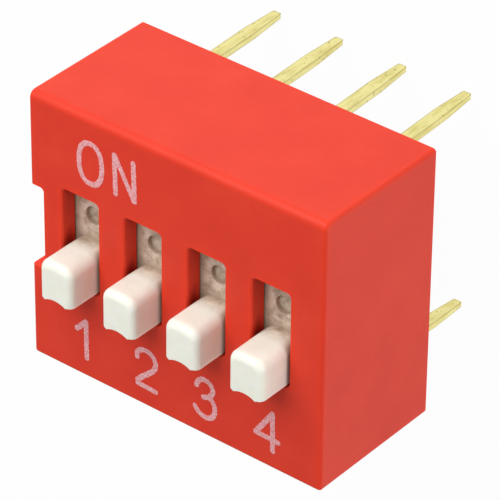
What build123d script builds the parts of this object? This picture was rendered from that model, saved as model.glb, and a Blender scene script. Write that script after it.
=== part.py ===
from build123d import *
import os

# Slide switch with four positions in a moulded housing, on two rows of solder pins.
# X runs along the row of switches, from the first to the last.
# Y points from the numbered side to the ON side, and Z from the circuit board to the knobs.
# The origin is the middle of the plane where the housing's rim sits on the board.
# The switches are modelled off, with their knobs at the numbered side. Sizes are in millimetres.

# Housing
body_length = 11.7
body_width = 9.9
body_height = 5.5
brow_radius = 0.28
edge_radius = 0.13
rim_chamfer = 0.12
face_wall = 0.6
side_wall = 0.75
cavity_radius = 0.2

# Rows of switches and pins
positions = 4
pitch = 2.54
row_inset = 1.14

# Slots in the face
slot_width = 1.48
slot_shift = 0.13
slot_corner_radius = 0.15
slot_edge_chamfer = 0.05

# Keying notch in the end beside the first switch
notch_width = 3.06
notch_depth = 0.55
notch_corner_radius = 0.15

# Ribs inside the cover that keep the sliders apart
rib_width = 0.4

# Base that the cover snaps over
base_bottom = 0.5
base_top = 3.6
base_fit = 0.03
trough_width = 1.5
trough_depth = 0.7

# Snap lugs on the base and their pockets in the cover's side walls
lug_length = 1.7
lug_height = 0.45
lug_reach = 0.2
lug_level = 1.3
lug_clearance = 0.05

# Resin that seals the pins from below
seal_recess = 0.15

# Terminals
metal_thickness = 0.22
pin_width = 0.46
pin_length = 4.28
pin_splay = 0.16
pin_taper = 1.4
pin_tip_width = 0.32
pin_tip_thickness = 0.16
pin_tip_radius = 0.07
pad_width = 1.1
shoulder_level = 1.4
bend_radius = 0.08
pad_margin = 0.3

# Sliders
knob_length = 1.48
knob_height = 1.25
knob_side_gap = 0.08
knob_end_gap = 0.05
knob_back_radius = 0.36
knob_brow_radius = 0.26
knob_front_radius = 0.06
knob_crown = 0.08
scoop_width = 0.9
scoop_depth = 0.13
plate_thickness = 0.6
plate_overlap = 0.35
plate_end_room = 0.27
plate_radius = 0.2
slide_clearance = 0.06
dimple_radius = 0.33
dimple_depth = 0.15
dimple_offset = 1.62
carrier_length = 1.5
stake_width = 0.3
stake_height = 0.1

# Bridge contacts under the sliders
contact_thickness = 0.1
contact_width = 0.9
contact_reach = 1.2
contact_rise = 0.25
contact_tail = 0.3
contact_flat = 0.55
contact_foot = 0.12
contact_bend_radius = 0.12
contact_split = 0.14
contact_clearance = 0.02
stake_fit = 0.02

# Places that follow from the sizes above
switch_x = [(i - (positions - 1) / 2) * pitch for i in range(positions)]
row_y = body_width / 2 - row_inset
cavity_length = positions * pitch - rib_width
cavity_width = body_width - 2 * side_wall
cavity_top = body_height - face_wall
trough_floor = base_top - trough_depth
plate_top = cavity_top - slide_clearance
plate_bottom = plate_top - plate_thickness
knob_width = slot_width - 2 * knob_side_gap
# A slider's plate closes its slot at both ends of the travel and still clears the side walls
travel = (cavity_width - 2 * (plate_end_room + plate_overlap + knob_end_gap) - knob_length) / 3
slot_length = knob_length + travel + 2 * knob_end_gap
slot_low = slot_shift - slot_length / 2
knob_y = slot_low + knob_end_gap + knob_length / 2
contact_bottom = trough_floor + contact_clearance
contact_top = contact_bottom + contact_rise + contact_thickness
number_pad_end = knob_y + travel - contact_reach + pad_margin
on_pad_end = knob_y + contact_reach + travel / 2

STANDING = (Align.CENTER, Align.CENTER, Align.MIN)


def block(length, width, low, high, radius=0):
    """Upright block centred on the Z axis, with its four upright corners rounded."""
    outline = RectangleRounded(length, width, radius) if radius else Rectangle(length, width)
    return extrude(Pos(0, 0, low) * outline, high - low)


def side_profile(points, width):
    """Outline drawn in the YZ plane, made solid to half the width on each side of X = 0."""
    return extrude(make_face(Plane.YZ * Polyline(*points, close=True)), width / 2, both=True)


def rounded_housing():
    """Outer block of the cover: a full brow above the ON side, small radii on the other edges."""
    shell = Box(body_length, body_width, body_height, align=STANDING)
    shell = fillet(shell.edges().filter_by(Axis.X).group_by(Axis.Z)[-1].sort_by(Axis.Y)[-1], brow_radius)
    face_edges = shell.edges().filter_by(Axis.X).group_by(Axis.Z)[-1].sort_by(Axis.Y)[0]
    end_edges = [edge for end in shell.faces().filter_by(Axis.X) for edge in end.edges()]
    rim_height = rim_chamfer + edge_radius
    rounded = [edge for edge in end_edges if edge.center().Z > rim_height]
    shell = fillet([face_edges, *rounded], edge_radius)
    return chamfer(shell.faces().sort_by(Axis.Z)[0].edges(), rim_chamfer)


def keying_notch():
    """Channel down the end wall, cut past the end so that it comes out open."""
    depth = 2 * notch_depth
    outline = RectangleRounded(depth, notch_width, notch_corner_radius)
    return extrude(Pos(-body_length / 2, 0, 0) * outline, body_height)


def snap_lug(growth=0.0):
    """Wedge on the base's side on +Y: a ramp below and a catching ledge above."""
    wall = cavity_width / 2 - base_fit
    tip = wall + lug_reach + growth
    top = lug_level + lug_height + growth
    ramp = [(wall - lug_reach, lug_level - growth), (wall, lug_level - growth),
            (tip, lug_level + lug_height / 2), (tip, top), (wall - lug_reach, top)]
    return side_profile(ramp, lug_length + 2 * growth)


def four_lugs(growth=0.0):
    """The lugs, two on each long side, between the outer pairs of pins."""
    pair = [Pos(x, 0, 0) * snap_lug(growth) for x in (-pitch, pitch)]
    return pair + [mirror(lug, about=Plane.XZ) for lug in pair]


def make_cover():
    cover = rounded_housing()
    cover -= block(cavity_length, cavity_width, 0, cavity_top, cavity_radius)
    for i in range(positions - 1):
        rib = block(rib_width, cavity_width + side_wall, base_top, cavity_top + face_wall / 2)
        cover += Pos(switch_x[i] + pitch / 2, 0, 0) * rib
    slot = block(slot_width, slot_length, cavity_top - face_wall, body_height + face_wall,
                 slot_corner_radius)
    cover -= [Pos(x, slot_shift, 0) * slot for x in switch_x]
    slot_edges = [wire.edges() for wire in cover.faces().sort_by(Axis.Z)[-1].inner_wires()]
    cover = chamfer([edge for edges in slot_edges for edge in edges], slot_edge_chamfer)
    cover -= keying_notch()
    cover -= four_lugs(lug_clearance)
    return cover


def terminal_blade(pad_end):
    """Terminal of the row on +Y: a pin that leans out below the board plane, and a pad bent inwards."""
    pad_top = trough_floor
    inner = row_y - metal_thickness / 2
    outer = row_y + metal_thickness / 2
    tip = row_y + pin_splay
    taper_share = 1 - pin_taper / pin_length
    side = make_face(Plane.YZ * Polyline(
        (tip - pin_tip_thickness / 2, -pin_length),
        (tip + pin_tip_thickness / 2, -pin_length),
        (outer + pin_splay * taper_share, pin_taper - pin_length),
        (outer, 0),
        (outer, pad_top),
        (pad_end, pad_top),
        (pad_end, pad_top - metal_thickness),
        (inner, pad_top - metal_thickness),
        (inner, 0),
        (inner + pin_splay * taper_share, pin_taper - pin_length),
        close=True))
    corners = side.vertices()
    outer_bend = corners.sort_by_distance((0, outer, pad_top))[0]
    inner_bend = corners.sort_by_distance((0, inner, pad_top - metal_thickness))[0]
    side = fillet(outer_bend, bend_radius + metal_thickness)
    side = fillet(side.vertices().sort_by_distance(inner_bend)[0], bend_radius)
    front = make_face(Plane.XZ * Polyline(
        (-pin_tip_width / 2, -pin_length),
        (pin_tip_width / 2, -pin_length),
        (pin_width / 2, pin_taper - pin_length),
        (pin_width / 2, shoulder_level),
        (pad_width / 2, shoulder_level),
        (pad_width / 2, pad_top),
        (-pad_width / 2, pad_top),
        (-pad_width / 2, shoulder_level),
        (-pin_width / 2, shoulder_level),
        (-pin_width / 2, pin_taper - pin_length),
        close=True))
    front = fillet(front.vertices().sort_by(Axis.Z)[:2], pin_tip_radius)
    return extrude(side, pad_width, both=True) & extrude(front, body_width, both=True)


def make_terminals():
    """Terminals by name, numbered round the switch: the numbered side, then back along the ON side."""
    number_side = mirror(terminal_blade(-number_pad_end), about=Plane.XZ)
    on_side = terminal_blade(on_pad_end)
    terminals = {}
    for i, x in enumerate(switch_x):
        terminals[f"terminal_{i + 1}"] = Pos(x, 0, 0) * number_side
        terminals[f"terminal_{2 * positions - i}"] = Pos(x, 0, 0) * on_side
    return terminals


def make_base(terminals):
    base = block(cavity_length - 2 * base_fit, cavity_width - 2 * base_fit,
                 base_bottom, base_top, cavity_radius)
    low = knob_y - contact_reach - contact_tail - pad_margin
    high = knob_y + travel + contact_reach + contact_tail + pad_margin
    trough = block(trough_width, high - low, trough_floor, base_top + trough_depth)
    base -= [Pos(x, (low + high) / 2, 0) * trough for x in switch_x]
    base += four_lugs()
    return base - terminals


def make_seal(terminals):
    """Resin poured over the base's underside, up to the cover's walls and round every pin."""
    return block(cavity_length, cavity_width, seal_recess, base_bottom, cavity_radius) - terminals


def knob_outline():
    """Knob seen from above: a scoop for the fingertip on the numbered side, a slight crown on the other."""
    half_width = knob_width / 2
    half_length = knob_length / 2
    front = Polyline((-half_width, -half_length), (-scoop_width / 2, -half_length))
    scoop = ThreePointArc(front @ 1, (0, scoop_depth - half_length), (scoop_width / 2, -half_length))
    right = Polyline(scoop @ 1, (half_width, -half_length), (half_width, half_length - knob_crown))
    crown = ThreePointArc(right @ 1, (0, half_length), (-half_width, half_length - knob_crown))
    outline = make_face([front, scoop, right, crown, Line(crown @ 1, front @ 0)])
    return fillet(outline.vertices().sort_by(Axis.Y)[-2:], knob_back_radius)


def make_knob():
    """Knob standing on the slider's plate, its brow rolled over to the back and sides."""
    knob = extrude(Pos(0, 0, plate_top) * knob_outline(), body_height + knob_height - plate_top)
    front_and_brow = knob.faces().sort_by(Axis.Z)[-1].edges().sort_by(Axis.Y)
    knob = fillet(front_and_brow[3:], knob_brow_radius)
    front_edges = knob.edges().group_by(Axis.Y)[0]
    corners = front_edges.filter_by(lambda edge: abs(edge.center().X) > (knob_width + scoop_width) / 4)
    above_plate = corners.filter_by(lambda edge: edge.center().Z > plate_top + knob_front_radius)
    return fillet(above_plate, knob_front_radius)


def make_slider():
    """Slider with its knob centred on the Z axis."""
    plate_high = slot_low + slot_length + plate_overlap - knob_y
    plate_low = slot_low - travel - plate_overlap - knob_y
    plate = block(pitch - rib_width - 2 * slide_clearance, plate_high - plate_low,
                  plate_bottom, plate_top, plate_radius)
    slider = Pos(0, (plate_low + plate_high) / 2, 0) * plate
    slider += make_knob()
    slider -= Pos(0, dimple_offset, plate_top) * Cylinder(dimple_radius, 2 * dimple_depth)
    carrier_width = trough_width - 2 * slide_clearance
    slider += block(carrier_width, carrier_length, contact_top, plate_bottom)
    slider += block(stake_width, stake_width, contact_top - contact_thickness - stake_height, contact_top)
    return slider


def make_contact():
    """Springy bridge with its staked middle on the Z axis and two split arms that dip to the pads."""
    low = contact_top - contact_thickness
    tail = contact_reach + contact_tail
    underside = [(contact_flat, low), (contact_reach - contact_foot, contact_bottom),
                 (contact_reach + contact_foot, contact_bottom), (tail, contact_bottom + contact_rise)]
    topside = [(y, z + contact_thickness) for y, z in reversed(underside)]
    strip = make_face(Plane.YZ * Polyline((0, low), *underside, *topside, (0, contact_top), close=True))
    bends = strip.vertices().filter_by(lambda corner: contact_thickness < corner.Y < tail - contact_foot)
    strip = fillet(bends, contact_bend_radius)
    half = extrude(strip, contact_width / 2, both=True)
    half -= Pos(0, contact_flat + tail / 2, 0) * block(contact_split, tail, contact_bottom, plate_bottom)
    stake_hole = stake_width + 2 * stake_fit
    contact = half + mirror(half, about=Plane.XZ)
    return contact - block(stake_hole, stake_hole, contact_bottom, plate_bottom)


def main():
    terminals = make_terminals()
    nodes = {
        "cover": make_cover(),
        "base": make_base(list(terminals.values())),
        "terminal_seal": make_seal(list(terminals.values())),
        **terminals,
    }
    slider = make_slider()
    contact = make_contact()
    for i, x in enumerate(switch_x):
        nodes[f"slider_{i + 1}"] = Pos(x, knob_y, 0) * slider
        nodes[f"contact_{i + 1}"] = Pos(x, knob_y, 0) * contact
    os.makedirs("parts", exist_ok=True)
    for name, node in nodes.items():
        export_step(node, f"parts/{name}.step")
        print(name, len(node.solids()), round(node.volume, 3))


main()
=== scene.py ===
"""Four-way slide switch: the finishes, the printed marks, the light and the view around its solid model."""

import math

import bmesh
import bpy
import numpy as np
from mathutils import Matrix, Quaternion, Vector


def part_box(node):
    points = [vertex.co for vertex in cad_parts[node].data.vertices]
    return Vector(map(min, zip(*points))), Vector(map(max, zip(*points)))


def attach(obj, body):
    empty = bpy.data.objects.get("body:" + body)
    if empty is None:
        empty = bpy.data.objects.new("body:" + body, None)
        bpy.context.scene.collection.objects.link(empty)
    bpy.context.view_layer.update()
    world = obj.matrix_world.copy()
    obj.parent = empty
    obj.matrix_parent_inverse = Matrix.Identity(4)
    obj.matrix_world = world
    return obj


bl_info = {
    "name": "Four-way slide switch",
    "version": (1, 0, 0),
    "blender": (4, 5, 0),
    "location": "3D View > Sidebar > Switch",
    "description": "Dresses a four-way slide switch with its plastics, metal, marks, light and camera",
    "category": "Object",
}

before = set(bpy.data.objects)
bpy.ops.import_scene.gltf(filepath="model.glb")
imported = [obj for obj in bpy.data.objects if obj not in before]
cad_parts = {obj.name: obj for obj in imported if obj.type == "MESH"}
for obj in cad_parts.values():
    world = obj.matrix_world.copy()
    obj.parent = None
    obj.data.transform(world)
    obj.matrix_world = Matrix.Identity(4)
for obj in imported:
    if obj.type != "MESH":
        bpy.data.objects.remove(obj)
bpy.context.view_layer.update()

MM = 0.001
POSITIONS = 4
# Heights of the cover's face and of the pins' tips
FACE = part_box("cover")[1].z
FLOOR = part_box("terminal_1")[0].z


def linear(hex_colour):
    """Linear RGB of an sRGB colour such as #D8402F."""
    parts = [int(hex_colour[i:i + 2], 16) / 255 for i in (1, 3, 5)]
    return tuple(c / 12.92 if c <= 0.04045 else ((c + 0.055) / 1.055) ** 2.4 for c in parts)


# Materials

BLACK, WHITE = linear("#000000"), linear("#FFFFFF")
AO_SAMPLES = 8
# Most of a noise pattern lies between these
NOISE_LOW, NOISE_HIGH = 0.3, 0.7


def node(tree, kind, settings=None, output=0, **links):
    """Adds a node with its settings and links, and gives one of its outputs. Settings name properties and
    sockets, or the stops of a colour ramp. Links name sockets, as n6 where a socket goes by its number."""
    made = tree.nodes.new("ShaderNode" + kind)
    for name, value in (settings or {}).items():
        if name == "stops":
            elements = made.color_ramp.elements
            for element, (position, colour) in zip(elements, (value[0], value[-1])):
                element.position, element.color = position, (*colour, 1)
            for position, colour in value[1:-1]:
                elements.new(position).color = (*colour, 1)
        elif isinstance(name, str) and hasattr(made, name):
            setattr(made, name, value)
        else:
            made.inputs[name].default_value = value
    for name, source in links.items():
        key = int(name[1:]) if name[0] == "n" and name[1:].isdigit() else name.replace("_", " ")
        tree.links.new(source, made.inputs[key])
    return made.outputs[output] if made.outputs else None


def new_material(name):
    """Empty node material, its tree, and the place on the piece that its patterns follow."""
    material = bpy.data.materials.new(name)
    material.use_nodes = True
    tree = material.node_tree
    tree.nodes.clear()
    return material, tree, node(tree, "TexCoord", output="Object")


def cover_plastic(settings):
    """Glass-filled nylon, injection moulded against a spark-eroded tool: an even satin red, cloudy by a few
    percent where the melt flowed, with a fine pebble that breaks up reflections. Handling has left the flats
    a little chalky. A painted highlight turns the edges a purer orange red, and painted shade darkens the
    slots and the face round the sliders."""
    material, tree, place = new_material("moulded_nylon_red")
    cloud = node(tree, "TexNoise", {"Scale": 1 / settings.cloud_size, "Detail": 3.0, "Roughness": 0.55},
                 Vector=place)
    reds = [(0.3, settings.deep_red), (0.5, settings.red), (0.72, settings.bright_red)]
    plain = node(tree, "ValToRGB", {"stops": reds}, Fac=cloud)
    # Painted shade: the red darkens to a deeper red where other surfaces are near, in the slots and round
    # the sliders
    openness = node(tree, "AmbientOcclusion", {"samples": AO_SAMPLES,
                                               "Distance": settings.slot_shade_reach}, "AO")
    unshaded = node(tree, "ValToRGB", {"stops": [(0.35, BLACK), (0.8, WHITE)]}, Fac=openness)
    slot_shaded = node(tree, "Mix", {"data_type": "RGBA", 6: (*settings.slot_shade, 1)}, 2, n0=unshaded, n7=plain)
    # Painted highlight: the red turns a brighter orange along the edges
    flatness = node(tree, "AmbientOcclusion", {"samples": AO_SAMPLES, "inside": True,
                                               "Distance": settings.edge_highlight_reach}, "AO")
    edge_lit = node(tree, "ValToRGB", {"stops": [(0.5, WHITE), (0.95, BLACK)]}, Fac=flatness)
    colour = node(tree, "Mix", {"data_type": "RGBA", 7: (*settings.edge_highlight, 1)}, 2, n0=edge_lit, n6=slot_shaded)
    # Real pebbles are 0.02 to 0.03 mm wide, too fine to show, so they are drawn about twice as coarse
    pebble = node(tree, "TexNoise", {"Scale": 1 / settings.pebble_size, "Detail": 2.0, "Roughness": 0.6},
                  Vector=place)
    satin = node(tree, "MapRange", {"From Min": NOISE_LOW, "From Max": NOISE_HIGH,
                                    "To Min": 0.36, "To Max": 0.5}, Value=pebble)
    relief = node(tree, "Bump", {"Strength": 0.22, "Distance": 0.006 * MM}, Height=pebble)
    skin = node(tree, "BsdfPrincipled", {"IOR": 1.53, "Specular IOR Level": 0.2},
                Base_Color=colour, Roughness=satin, Normal=relief)
    node(tree, "OutputMaterial", Surface=skin)
    return material


def ink(settings):
    """Thin white pad-printing ink over red plastic: a dull pinkish white, whiter where it lies thick."""
    material, tree, place = new_material("pad_printed_ink")
    # Real ink's grain is about 0.02 mm wide, too fine to show, so it is drawn about three times as coarse
    lay = node(tree, "TexNoise", {"Scale": 1 / settings.blotch_size, "Detail": 4.0, "Roughness": 0.65},
               Vector=place)
    whites = [(0.4, settings.thin_ink), (0.5, settings.ink), (0.6, settings.thick_ink)]
    colour = node(tree, "ValToRGB", {"stops": whites}, Fac=lay)
    relief = node(tree, "Bump", {"Strength": 0.3, "Distance": 0.004 * MM}, Height=lay)
    overlay = node(tree, "BsdfPrincipled", {"Roughness": 0.55, "IOR": 1.5}, Base_Color=colour, Normal=relief)
    node(tree, "OutputMaterial", Surface=overlay)
    return material


def slider_plastic(settings):
    """Acetal, injection moulded smooth: a waxy warm white that light enters a little, with faint flow marks
    and slightly sunken faces. Inside the slots it is darkened by painted shade, mottled with patches of
    dust."""
    material, tree, place = new_material("moulded_acetal_white")
    flow = node(tree, "TexNoise", {"Scale": 1 / settings.flow_size, "Detail": 3.0, "Roughness": 0.5},
                Vector=place)
    plain = node(tree, "ValToRGB", {"stops": [(0.32, settings.shade_white), (0.62, settings.white)]},
                 Fac=flow)

    # Painted shade, mottled with dust, darkens what is inside the slots and ends just above the cover's face
    shade_top, shade_depth, dust_and_shade_depth = FACE + 0.1 * MM, FACE - 0.5 * MM, FACE - 0.2 * MM
    patches = node(tree, "TexNoise", {"Scale": 1 / settings.dust_size, "Detail": 4.0, "Roughness": 0.65},
                   Vector=place)
    overlay = node(tree, "ValToRGB", {"stops": [(0.36, settings.dust_and_shade_dark), (0.6, settings.dust_and_shade_light)]},
                Fac=patches)
    height = node(tree, "SeparateXYZ", output="Z", Vector=place)
    unshaded = node(tree, "MapRange", {"From Min": shade_depth, "From Max": shade_top}, Value=height)
    dust_and_shade_mixed = node(tree, "Mix", {"data_type": "RGBA"}, 2, n0=unshaded, n6=overlay, n7=plain)

    # Dust and painted shade darken the corners between a slider and its slot
    openness = node(tree, "AmbientOcclusion", {"samples": AO_SAMPLES,
                                               "Distance": settings.dust_and_shade_reach}, "AO")
    corner = node(tree, "Math", {"operation": "SUBTRACT"}, n0=openness, n1=patches)
    corner_dust_and_shade = node(tree, "MapRange", {"From Min": -0.1, "From Max": 0.4, "To Min": 0.8, "To Max": 0.0},
                  Value=corner)
    inside = node(tree, "MapRange", {"From Min": dust_and_shade_depth, "From Max": shade_top,
                                     "To Min": 1.0, "To Max": 0.0}, Value=height)
    corner_darkening = node(tree, "Math", {"operation": "MULTIPLY"}, n0=corner_dust_and_shade, n1=inside)
    colour = node(tree, "Mix", {"data_type": "RGBA", 7: (*settings.dust_and_shade_dark, 1)}, 2, n0=corner_darkening, n6=dust_and_shade_mixed)

    # The skin of real acetal is uneven over about 0.02 mm, too fine to show, so it is drawn about three
    # times as coarse
    grain = node(tree, "TexNoise", {"Scale": 1 / settings.skin_size, "Detail": 2.0, "Roughness": 0.5},
                 Vector=place)
    waxy = node(tree, "MapRange", {"From Min": NOISE_LOW, "From Max": NOISE_HIGH,
                                   "To Min": 0.34, "To Max": 0.48}, Value=grain)
    sunken = node(tree, "Bump", {"Strength": 0.5, "Distance": 0.05 * MM}, Height=flow)
    relief = node(tree, "Bump", {"Strength": 0.12, "Distance": 0.004 * MM}, Height=grain, Normal=sunken)
    body = node(tree, "BsdfPrincipled", {"IOR": 1.48, "Subsurface Weight": 0.2,
                                         "Subsurface Radius": (1.0, 0.7, 0.4), "Subsurface Scale": 0.3 * MM},
                Base_Color=colour, Roughness=waxy, Normal=relief)
    node(tree, "OutputMaterial", Surface=body)
    return material


def plated_metal(name, settings):
    """Brass or bronze strip, stamped and thinly plated: a soft pale shine drawn out along the strip, clouded
    by handling, with small specks where the plate is porous, browner and darker towards the edges."""
    material, tree, place = new_material(name)
    # Real rolling lines and pores are a few hundredths of a millimetre wide, too fine to show, so both are
    # drawn a few times as coarse
    along_strip = node(tree, "Mapping", {"Scale": (1, 1, 0.2)}, Vector=place)
    streaks = node(tree, "TexNoise", {"Scale": 1 / settings.streak_size, "Detail": 4.0, "Roughness": 0.6},
                   Vector=along_strip)
    plate = node(tree, "ValToRGB", {"stops": [(0.36, settings.dull), (0.58, settings.bright)]}, Fac=streaks)
    specks = node(tree, "TexNoise", {"Scale": 1 / settings.spot_size, "Detail": 1.0, "Roughness": 0.5},
                  Vector=place)
    pores = node(tree, "ValToRGB", {"stops": [(0.68, BLACK), (0.76, WHITE)]}, Fac=specks)
    speckled = node(tree, "Mix", {"data_type": "RGBA", 7: (*settings.spot, 1)}, 2, n0=pores, n6=plate)
    flatness = node(tree, "AmbientOcclusion", {"samples": AO_SAMPLES, "inside": True,
                                               "Distance": settings.edge_reach}, "AO")
    # The edges are browned and darkened by this share only
    browned = (0.7, 0.7, 0.7)
    edge_browning = node(tree, "ValToRGB", {"stops": [(0.5, browned), (0.85, BLACK)]}, Fac=flatness)
    colour = node(tree, "Mix", {"data_type": "RGBA", 7: (*settings.edge, 1)}, 2, n0=edge_browning, n6=speckled)
    smoothest, dullest = settings.roughness, settings.roughness + 0.16
    shine = node(tree, "MapRange", {"From Min": NOISE_LOW, "From Max": NOISE_HIGH,
                                    "To Min": smoothest, "To Max": dullest}, Value=streaks)
    relief = node(tree, "Bump", {"Strength": 0.25, "Distance": 0.006 * MM}, Height=streaks)
    metal = node(tree, "BsdfPrincipled", {"Metallic": 1.0},
                 Base_Color=colour, Roughness=shine, Normal=relief)
    node(tree, "OutputMaterial", Surface=metal)
    return material


def base_plastic(settings):
    """Glass-filled polyester, injection moulded: near-black with a dry matt skin and pale glass flecks."""
    material, tree, place = new_material("moulded_polyester_black")
    # Real glass fibres are about 0.01 mm thick, too fine to show, so the flecks are drawn far coarser
    flecks = node(tree, "TexNoise", {"Scale": 1 / settings.fleck_size, "Detail": 3.0, "Roughness": 0.5},
                  Vector=place)
    colour = node(tree, "ValToRGB", {"stops": [(0.4, settings.black), (0.75, settings.fleck)]}, Fac=flecks)
    relief = node(tree, "Bump", {"Strength": 0.3, "Distance": 0.008 * MM}, Height=flecks)
    skin = node(tree, "BsdfPrincipled", {"Roughness": 0.6, "IOR": 1.55}, Base_Color=colour, Normal=relief)
    node(tree, "OutputMaterial", Surface=skin)
    return material


def poured_resin(settings):
    """Epoxy poured and cured in place: glossy dark brown, gently uneven, with tiny bubbles."""
    material, tree, place = new_material("poured_epoxy")
    pool = node(tree, "TexNoise", {"Scale": 1 / settings.pool_size, "Detail": 2.0, "Roughness": 0.5},
                Vector=place)
    colour = node(tree, "ValToRGB", {"stops": [(0.35, settings.deep), (0.7, settings.shallow)]}, Fac=pool)
    # The reach of a bubble's pit is a share of the distance between bubbles
    pit_reach = 0.12
    bubbles = node(tree, "TexVoronoi", {"Scale": 1 / settings.bubble_spacing}, "Distance", Vector=place)
    pits = node(tree, "MapRange", {"From Max": pit_reach}, Value=bubbles)
    level = node(tree, "Math", {"operation": "ADD"}, n0=pits, n1=pool)
    relief = node(tree, "Bump", {"Strength": 0.35, "Distance": 0.02 * MM}, Height=level)
    gloss = node(tree, "BsdfPrincipled", {"Roughness": 0.2, "IOR": 1.55}, Base_Color=colour, Normal=relief)
    node(tree, "OutputMaterial", Surface=gloss)
    return material


def floor_sheet(settings):
    """Matt white sheet: the camera sees it nearly plain white, and it still takes the switch's shadow."""
    material, tree, _ = new_material("matt_white_sheet")
    direct = node(tree, "LightPath", output="Is Camera Ray")
    mirrored = node(tree, "LightPath", output="Is Glossy Ray")
    through = node(tree, "LightPath", output="Is Transmission Ray")
    either = node(tree, "Math", {"operation": "MAXIMUM"}, n0=direct, n1=mirrored)
    seen = node(tree, "Math", {"operation": "MAXIMUM"}, n0=either, n1=through)
    share = node(tree, "Math", {"operation": "MULTIPLY", 1: settings.backdrop_share}, n0=seen)
    matt = node(tree, "BsdfDiffuse", {"Color": (*settings.sheet, 1)})
    plain = node(tree, "Emission", {"Color": (*WHITE, 1), "Strength": 1.0})
    mixed = node(tree, "MixShader", n0=share, n1=matt, n2=plain)
    node(tree, "OutputMaterial", Surface=mixed)
    return material


# Pieces

def dress(names, material):
    """Gives carried-over solids a material."""
    for name in names:
        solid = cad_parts[name]
        if not solid.material_slots:
            solid.data.materials.append(material)
        for slot in solid.material_slots:
            slot.material = material


def put(name, data):
    """Adds an object to the scene that holds a mesh, a lamp or a camera."""
    made = bpy.data.objects.new(name, data)
    bpy.context.scene.collection.objects.link(made)
    return made


# Printed marks, as centre lines in millimetres on the cover's face

def smooth_line(points, steps=8):
    """Catmull-Rom curve through the points."""
    pts = [np.array(p, float) for p in points]
    pts = [2 * pts[0] - pts[1], *pts, 2 * pts[-1] - pts[-2]]
    line = []
    for a, b, c, d in zip(pts, pts[1:], pts[2:], pts[3:]):
        for k in range(steps):
            t = k / steps
            line.append(0.5 * (2 * b + (c - a) * t + (2 * a - 5 * b + 4 * c - d) * t * t
                               + (3 * b - a - 3 * c + d) * t ** 3))
    return line + [pts[-2]]


def oval(centre, half_x, half_y, power=2.3, steps=48):
    """Closed upright oval, a little squarer than an ellipse."""
    line = []
    for k in range(steps + 1):
        turn = 2 * math.pi * k / steps
        c, s = math.cos(turn), math.sin(turn)
        line.append((centre[0] + half_x * math.copysign(abs(c) ** (2 / power), c),
                     centre[1] + half_y * math.copysign(abs(s) ** (2 / power), s)))
    return line


MARKS = {
    "mark_letter_o": [oval((-3.335, 3.275), 0.465, 0.735)],
    "mark_letter_n": [[(-2.36, 4.0), (-2.32, 2.61)], [(-2.34, 4.0), (-1.58, 2.63)],
                      [(-1.6, 4.0), (-1.56, 2.63)]],
    "mark_digit_1": [[(-4.0, -3.2), (-3.62, -2.8), (-3.61, -4.2)]],
    "mark_digit_2": [smooth_line([(-1.5, -3.15), (-1.48, -2.98), (-1.34, -2.83), (-1.16, -2.78),
                                  (-0.96, -2.82), (-0.8, -2.96), (-0.74, -3.15), (-0.8, -3.37),
                                  (-1.02, -3.61), (-1.3, -3.85), (-1.47, -4.03)]),
                     [(-1.48, -4.04), (-1.48, -4.17), (-0.74, -4.2)]],
    "mark_digit_3": [smooth_line([(0.92, -3.12), (1.0, -2.93), (1.18, -2.81), (1.38, -2.82), (1.53, -2.94),
                                  (1.57, -3.14), (1.45, -3.36), (1.2, -3.48)]),
                     smooth_line([(1.42, -3.4), (1.58, -3.51), (1.66, -3.72), (1.63, -3.99), (1.47, -4.17),
                                  (1.23, -4.21), (1.0, -4.12), (0.86, -3.96)])],
    "mark_digit_4": [[(3.97, -4.24), (3.95, -2.84), (3.3, -3.8), (4.18, -3.84)]],
}
# Settles where the ink's edges stray and its pinholes fall
INK_SEED = 7


def ink_noise(rng, x, y, size, count=26):
    """Smooth random field of about unit strength: a sum of waves that makes blotches of that size."""
    shortest, longest = 1.3 * size, 3.2 * size
    total = np.zeros_like(x)
    for _ in range(count):
        turn, phase = rng.uniform(0, 2 * math.pi, 2)
        step = 2 * math.pi / rng.uniform(shortest, longest)
        total += np.sin((x * math.cos(turn) + y * math.sin(turn)) * step + phase)
    return total / math.sqrt(count / 2)


def inked_cells(lines, settings, rng):
    """Grid of small squares covered by ink round the lines, with uneven edges and pinholes."""
    lines = [np.array(line) * MM for line in lines]
    points = np.concatenate(lines)
    low = points.min(0) - settings.stroke
    cell = settings.cell
    count = np.ceil((points.max(0) + settings.stroke - low) / cell).astype(int)
    x, y = np.meshgrid(low[0] + (np.arange(count[0]) + 0.5) * cell,
                       low[1] + (np.arange(count[1]) + 0.5) * cell, indexing="ij")
    distance = np.full(x.shape, np.inf)
    for line in lines:
        for (ax, ay), (bx, by) in zip(line, line[1:]):
            dx, dy = bx - ax, by - ay
            along = np.clip(((x - ax) * dx + (y - ay) * dy) / (dx * dx + dy * dy), 0, 1)
            distance = np.minimum(distance, np.hypot(x - ax - along * dx, y - ay - along * dy))
    edge = settings.stroke / 2 + settings.edge_wander * ink_noise(rng, x, y, settings.edge_size)
    holes = ink_noise(rng, x, y, settings.hole_size) > settings.hole_level
    return low, (distance < edge) & ~holes


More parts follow.
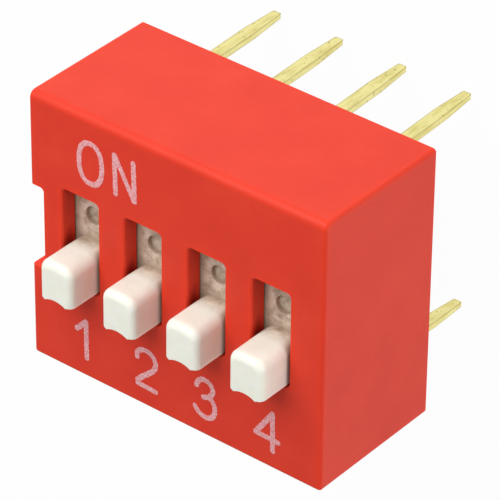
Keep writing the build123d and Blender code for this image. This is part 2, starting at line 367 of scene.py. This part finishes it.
def ink_layer(name, lines, settings, rng, material):
    """Thin raised layer of ink over the cells that the mark covers, closed on all sides."""
    low, full = inked_cells(lines, settings, rng)
    full = np.pad(full, 1)
    index, places, faces = {}, [], []

    def corner(i, j, top):
        key = (i, j, top)
        if key not in index:
            index[key] = len(places)
            height = FACE + (settings.thickness if top else -settings.sink)
            places.append((low[0] + (i - 1) * settings.cell, low[1] + (j - 1) * settings.cell, height))
        return index[key]

    for i, j in zip(*np.nonzero(full)):
        ring = [(i, j), (i + 1, j), (i + 1, j + 1), (i, j + 1)]
        faces.append([corner(*p, True) for p in ring])
        faces.append([corner(*p, False) for p in reversed(ring)])
        beside = [(i, j - 1), (i + 1, j), (i, j + 1), (i - 1, j)]
        for k, other in enumerate(beside):
            if not full[other]:
                a, b = ring[k], ring[(k + 1) % 4]
                faces.append([corner(*a, False), corner(*b, False), corner(*b, True), corner(*a, True)])
    mesh = bpy.data.meshes.new(name)
    mesh.from_pydata(places, [], faces)
    mesh.materials.append(material)
    layer = put(name, mesh)
    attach(layer, "housing")


# Resin drawn up the pins and the cover's walls

def pin_section(name):
    """Centre and half size of a pin's section at the board plane."""
    tolerance = 0.01 * MM
    ring = np.array([v.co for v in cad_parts[name].data.vertices if abs(v.co.z) < tolerance])
    return (ring.max(0) + ring.min(0)) / 2, (ring.max(0) - ring.min(0)) / 2


def meniscus(mesh, centre, half, corner, side, settings, steps=6):
    """Adds a closed ring of resin curved up against a wall whose corners have that radius. Side is 1 round a
    pin and -1 inside the cover."""
    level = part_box("terminal_seal")[0].z
    reach, rise, sink = settings.meniscus_reach, settings.meniscus_rise, 0.01 * MM
    turns = np.linspace(0, math.pi / 2, steps + 1)
    curve = [(reach * (1 - math.sin(turn)), rise * (1 - math.cos(turn))) for turn in turns]
    rings = []
    for away, up in [(reach, -sink), *curve, (-sink, rise), (-sink, -sink)]:
        ring = []
        radius = corner + side * away
        for quarter, (x_side, y_side) in enumerate(((1, 1), (-1, 1), (-1, -1), (1, -1))):
            x, y = centre[0] + x_side * (half[0] - corner), centre[1] + y_side * (half[1] - corner)
            for turn in turns + quarter * math.pi / 2:
                ring.append(mesh.verts.new((x + radius * math.cos(turn), y + radius * math.sin(turn),
                                            level - up)))
        rings.append(ring)
    for ring, following in zip(rings, rings[1:] + rings[:1]):
        for i in range(len(ring)):
            mesh.faces.new((ring[i - 1], ring[i], following[i], following[i - 1])).smooth = True


def drawn_resin(settings, material):
    """The resin's curved rim along the cover's walls and round every pin."""
    wall_corner, pin_corner = 0.2 * MM, 0.015 * MM
    shape = bmesh.new()
    low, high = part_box("terminal_seal")
    meniscus(shape, (low + high) / 2, (high - low) / 2, wall_corner, -1, settings)
    for i in range(2 * POSITIONS):
        meniscus(shape, *pin_section(f"terminal_{i + 1}"), pin_corner, 1, settings)
    bmesh.ops.recalc_face_normals(shape, faces=shape.faces)
    mesh = bpy.data.meshes.new("resin_menisci")
    shape.to_mesh(mesh)
    shape.free()
    mesh.materials.append(material)
    rim = put("resin_menisci", mesh)
    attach(rim, "housing")


# Settings that a user may change

def length(name, description, millimetres):
    """A length, given in millimetres."""
    return bpy.props.FloatProperty(name=name, description=description, default=millimetres * MM, min=0.0,
                                   precision=6, subtype="DISTANCE", unit="LENGTH")


def factor(name, description, default):
    """A share from 0 to 1."""
    return bpy.props.FloatProperty(name=name, description=description, default=default, min=0.0, max=1.0,
                                   subtype="FACTOR")


def swatch(name, description, hex_colour):
    """A colour, given as its sRGB hex value."""
    return bpy.props.FloatVectorProperty(name=name, description=description, default=linear(hex_colour),
                                         subtype="COLOR", size=3, min=0.0, max=1.0)


class CoverSettings(bpy.types.PropertyGroup):
    red: swatch("Red", "Main colour of the cover", "#E13B26")
    deep_red: swatch("Deep red", "Where the melt cooled first", "#DD3824")
    bright_red: swatch("Bright red", "Where the melt flowed last", "#E53F29")
    cloud_size: length("Cloud size", "Width of the clouds in the colour", 1.8)
    # Rubbed edge is a painted highlight: a brighter orange along the edges
    edge_highlight: swatch("Rubbed edge", "Red of the edges that handling has rubbed", "#EC3B1C")
    edge_highlight_reach: length("Rub reach", "How far the rubbed look spreads from an edge", 0.35)
    # Grime is painted shade: a deeper red where other surfaces are near, in the slots and round the sliders
    slot_shade: swatch("Grime", "Red under the grime that gathers in the slots", "#981A0F")
    slot_shade_reach: length("Grime reach", "How near to another surface the grime starts", 0.6)
    pebble_size: length("Pebble size", "Width of the moulded texture's pebbles", 0.05)


class MarkSettings(bpy.types.PropertyGroup):
    ink: swatch("Ink", "Ink of middling thickness", "#ECA4A8")
    thin_ink: swatch("Thin ink", "Ink that lets the red through", "#E48E8B")
    thick_ink: swatch("Thick ink", "Ink that lies thick", "#F3C3C8")
    stroke: length("Stroke", "Width of the strokes", 0.185)
    thickness: length("Thickness", "How far the ink stands up from the face", 0.008)
    sink: length("Sink", "How far the ink reaches into the face, so that no gap shows", 0.002)
    cell: length("Cell", "Size of the squares that the ink is drawn with", 0.012)
    edge_wander: length("Edge wander", "How far the edges stray", 0.005)
    edge_size: length("Edge size", "Width of the bends in the edges", 0.05)
    hole_size: length("Hole size", "Width of the pinholes", 0.028)
    hole_level: bpy.props.FloatProperty(name="Hole level", description="Higher leaves fewer pinholes",
                                        default=1.6, min=0.0)
    blotch_size: length("Blotch size", "Width of the thick and thin spots", 0.06)


class SliderSettings(bpy.types.PropertyGroup):
    white: swatch("White", "Main colour of the sliders", "#FAFBEE")
    shade_white: swatch("Shaded white", "Flow marks in the plastic", "#F6F7E8")
    # Greased and Packed dust are the lighter and darker tint of the painted shade inside the slots, mottled
    # with dust
    dust_and_shade_light: swatch("Greased", "Film of grease and dust on what lies inside the slots", "#E0D2C0")
    dust_and_shade_dark: swatch("Packed dust", "Dust that has settled in patches and in the corners", "#A8967F")
    dust_size: length("Dust size", "Width of the patches of dust", 0.35)
    # Dust reach sets how near to another surface the dust and painted shade in the corners start
    dust_and_shade_reach: length("Dust reach", "How near to another surface the dust starts", 0.35)
    flow_size: length("Flow size", "Width of the flow marks", 0.5)
    skin_size: length("Skin size", "Width of the skin's unevenness", 0.06)


class ContactSettings(bpy.types.PropertyGroup):
    bright: swatch("Bright", "Clean gold plate", "#E8C878")
    dull: swatch("Dull", "Clouded gold plate", "#CFAE62")
    spot: swatch("Spot", "Pores in the plate", "#8A6A30")
    # Edge is the browner, darker colour that the metal takes towards its edges
    edge: swatch("Edge", "Sheared edges", "#A9853C")
    edge_reach: length("Edge reach", "How far the look of the sheared edge spreads", 0.02)
    streak_size: length("Streak size", "Width of the streaks of the rolled strip", 0.1)
    spot_size: length("Spot size", "Width of the pores", 0.08)
    roughness: factor("Roughness", "Lowest roughness of the plate", 0.26)


class TerminalSettings(bpy.types.PropertyGroup):
    bright: swatch("Bright", "Clean plate", "#F6EDA6")
    dull: swatch("Dull", "Clouded plate", "#E2D583")
    spot: swatch("Spot", "Pores in the plate", "#B2A468")
    # Edge is the browner, darker colour that the metal takes towards its edges
    edge: swatch("Edge", "Sheared edges", "#9C8A40")
    edge_reach: length("Edge reach", "How far the look of the sheared edge spreads", 0.06)
    streak_size: length("Streak size", "Width of the streaks of the rolled strip", 0.2)
    spot_size: length("Spot size", "Width of the pores", 0.11)
    roughness: factor("Roughness", "Lowest roughness of the plate", 0.34)


class BaseSettings(bpy.types.PropertyGroup):
    black: swatch("Black", "Main colour of the base", "#1C1B1B")
    fleck: swatch("Fleck", "Glass flecks near the skin", "#3A3836")
    fleck_size: length("Fleck size", "Width of the flecks", 0.06)


class ResinSettings(bpy.types.PropertyGroup):
    deep: swatch("Deep", "Deep resin", "#241A14")
    shallow: swatch("Shallow", "Shallow resin", "#3B2A1E")
    pool_size: length("Pool size", "Width of the resin's unevenness", 1.2)
    bubble_spacing: length("Bubble spacing", "Distance between bubbles", 0.5)
    meniscus_reach: length("Meniscus reach", "How far from a wall the resin starts to rise", 0.14)
    meniscus_rise: length("Meniscus rise", "How far the resin has climbed a wall", 0.09)


class StageSettings(bpy.types.PropertyGroup):
    backdrop_share: factor("Backdrop share", "How plain white the floor looks, over its shadow", 0.97)
    floor_size: length("Floor size", "Side of the square floor", 900.0)
    sheet: swatch("Sheet", "White of the floor where light falls on it", "#F3F3F3")
    ambient: bpy.props.FloatProperty(name="Ambient", description="Strength of the even light from all round",
                                     default=0.4, min=0.0)
    focal_length: bpy.props.FloatProperty(name="Focal length", description="Of the camera, in millimetres",
                                          default=293.96, min=1.0, unit="CAMERA")


# Stage

# Lamps, as name: (place in mm, point it faces in mm, side of the square in mm, power in W)
LAMPS = {
    "key": ((-16, 74, 64), (0, 0, 0), 90, 0.0885),
    "side": ((110, -6, 8), (0, 0, 2), 22, 0.028),
}

# The camera's place and the point it faces, in mm, and its roll about that line, in degrees
CAMERA_PLACE = (66.34, 71.73, 84.58)
CAMERA_TARGET = (-0.468, -0.929, 1.184)
CAMERA_ROLL = -124.433


def facing(place, target):
    """Turn of a lamp or camera at a place, so that it faces the target with its top upward."""
    return (Vector(target) - Vector(place)).to_track_quat("-Z", "Y")


def lay_floor(settings):
    """White sheet that the pins' tips stand on."""
    half = settings.floor_size / 2
    mesh = bpy.data.meshes.new("floor")
    corners = [(x, y, FLOOR) for x, y in ((-half, -half), (half, -half), (half, half), (-half, half))]
    mesh.from_pydata(corners, [], [(0, 1, 2, 3)])
    mesh.materials.append(floor_sheet(settings))
    put("floor", mesh)


def hang_lamps():
    """Soft square lamps that the camera doesn't see."""
    for name, (place, target, side, power) in LAMPS.items():
        lamp = bpy.data.lights.new(name, "AREA")
        lamp.shape, lamp.size, lamp.energy = "SQUARE", side * MM, power
        holder = put(name, lamp)
        holder.visible_camera = False
        holder.location = Vector(place) * MM
        holder.rotation_euler = facing(place, target).to_euler()


def light_all_round(settings):
    """Even light from all sides, which the camera sees as plain white."""
    world = bpy.data.worlds.new("studio")
    bpy.context.scene.world = world
    world.use_nodes = True
    tree = world.node_tree
    tree.nodes.clear()
    direct = node(tree, "LightPath", output="Is Camera Ray")
    through = node(tree, "LightPath", output="Is Transmission Ray")
    seen = node(tree, "Math", {"operation": "MAXIMUM"}, n0=direct, n1=through)
    strength = node(tree, "MapRange", {"To Min": settings.ambient, "To Max": 1.0}, Value=seen)
    sky = node(tree, "Background", {"Color": (*WHITE, 1)}, Strength=strength)
    node(tree, "OutputWorld", Surface=sky)


def set_camera(settings):
    """Camera that sees the switch from where the photograph does, turned on its side as there."""
    camera = bpy.data.cameras.new("camera")
    camera.sensor_width, camera.lens = 36.0, settings.focal_length
    camera.clip_start, camera.clip_end = 1 * MM, 2000 * MM
    turn = facing(CAMERA_PLACE, CAMERA_TARGET) @ Quaternion((0, 0, 1), math.radians(CAMERA_ROLL))
    eye = put("camera", camera)
    eye.matrix_world = Matrix.LocRotScale(Vector(CAMERA_PLACE) * MM, turn, None)
    bpy.context.scene.camera = eye


# Operators

class SwitchOperator:
    """What every step's operator shares"""
    bl_options = {"REGISTER", "UNDO"}


class SWITCH_OT_cover(SwitchOperator, bpy.types.Operator):
    """Gives the moulded cover its red plastic"""
    bl_idname = "switch.cover"
    bl_label = "Cover"

    def execute(self, context):
        dress(["cover"], cover_plastic(context.scene.switch_cover))
        return {"FINISHED"}


class SWITCH_OT_marks(SwitchOperator, bpy.types.Operator):
    """Prints ON and the numbers on the cover's face"""
    bl_idname = "switch.marks"
    bl_label = "Printed marks"

    def execute(self, context):
        settings = context.scene.switch_marks
        rng = np.random.default_rng(INK_SEED)
        material = ink(settings)
        for name, lines in MARKS.items():
            ink_layer(name, lines, settings, rng, material)
        return {"FINISHED"}


class SWITCH_OT_sliders(SwitchOperator, bpy.types.Operator):
    """Gives the sliders their white plastic"""
    bl_idname = "switch.sliders"
    bl_label = "Sliders"

    def execute(self, context):
        dress([f"slider_{i + 1}" for i in range(POSITIONS)], slider_plastic(context.scene.switch_sliders))
        return {"FINISHED"}


class SWITCH_OT_contacts(SwitchOperator, bpy.types.Operator):
    """Gives the bridge contacts their gold plate"""
    bl_idname = "switch.contacts"
    bl_label = "Contacts"

    def execute(self, context):
        gold = plated_metal("gold_plated_bronze", context.scene.switch_contacts)
        dress([f"contact_{i + 1}" for i in range(POSITIONS)], gold)
        return {"FINISHED"}


class SWITCH_OT_terminals(SwitchOperator, bpy.types.Operator):
    """Gives the terminals their pale plate"""
    bl_idname = "switch.terminals"
    bl_label = "Terminals"

    def execute(self, context):
        plate = plated_metal("plated_brass_strip", context.scene.switch_terminals)
        dress([f"terminal_{i + 1}" for i in range(2 * POSITIONS)], plate)
        return {"FINISHED"}


class SWITCH_OT_base(SwitchOperator, bpy.types.Operator):
    """Gives the base its black plastic"""
    bl_idname = "switch.base"
    bl_label = "Base"

    def execute(self, context):
        dress(["base"], base_plastic(context.scene.switch_base))
        return {"FINISHED"}


class SWITCH_OT_resin(SwitchOperator, bpy.types.Operator):
    """Gives the resin its finish and draws it up the pins and the cover's walls"""
    bl_idname = "switch.resin"
    bl_label = "Resin"

    def execute(self, context):
        settings = context.scene.switch_resin
        epoxy = poured_resin(settings)
        dress(["terminal_seal"], epoxy)
        drawn_resin(settings, epoxy)
        return {"FINISHED"}


class SWITCH_OT_stage(SwitchOperator, bpy.types.Operator):
    """Lays the white floor, hangs the soft lamps and sets the camera"""
    bl_idname = "switch.stage"
    bl_label = "Stage"

    def execute(self, context):
        settings = context.scene.switch_stage
        lay_floor(settings)
        hang_lamps()
        light_all_round(settings)
        set_camera(settings)
        context.scene.view_settings.view_transform = "Standard"
        return {"FINISHED"}


class SWITCH_PT_panel(bpy.types.Panel):
    """Lists the switch's pieces in the 3D view's sidebar"""
    bl_idname = "SWITCH_PT_panel"
    bl_label = "Slide switch"
    bl_space_type = "VIEW_3D"
    bl_region_type = "UI"
    bl_category = "Switch"

    def draw(self, context):
        for operator, group, _ in STEPS:
            box = self.layout.box()
            box.operator(operator.bl_idname)
            settings = getattr(context.scene, group)
            for name in settings.__annotations__:
                box.prop(settings, name)


# Each step's operator, the scene's name for its settings, and their class
STEPS = [
    (SWITCH_OT_cover, "switch_cover", CoverSettings),
    (SWITCH_OT_marks, "switch_marks", MarkSettings),
    (SWITCH_OT_sliders, "switch_sliders", SliderSettings),
    (SWITCH_OT_contacts, "switch_contacts", ContactSettings),
    (SWITCH_OT_terminals, "switch_terminals", TerminalSettings),
    (SWITCH_OT_base, "switch_base", BaseSettings),
    (SWITCH_OT_resin, "switch_resin", ResinSettings),
    (SWITCH_OT_stage, "switch_stage", StageSettings),
]


def register():
    for operator, group, settings in STEPS:
        bpy.utils.register_class(settings)
        bpy.utils.register_class(operator)
        setattr(bpy.types.Scene, group, bpy.props.PointerProperty(type=settings))
    bpy.utils.register_class(SWITCH_PT_panel)


def unregister():
    bpy.utils.unregister_class(SWITCH_PT_panel)
    for operator, group, settings in reversed(STEPS):
        delattr(bpy.types.Scene, group)
        bpy.utils.unregister_class(operator)
        bpy.utils.unregister_class(settings)


def main():
    register()
    for operator, _, _ in STEPS:
        area, action = operator.bl_idname.split(".")
        if getattr(getattr(bpy.ops, area), action)() != {"FINISHED"}:
            raise RuntimeError(f"{operator.bl_label} wasn't finished")


if __name__ == "__main__":
    main()
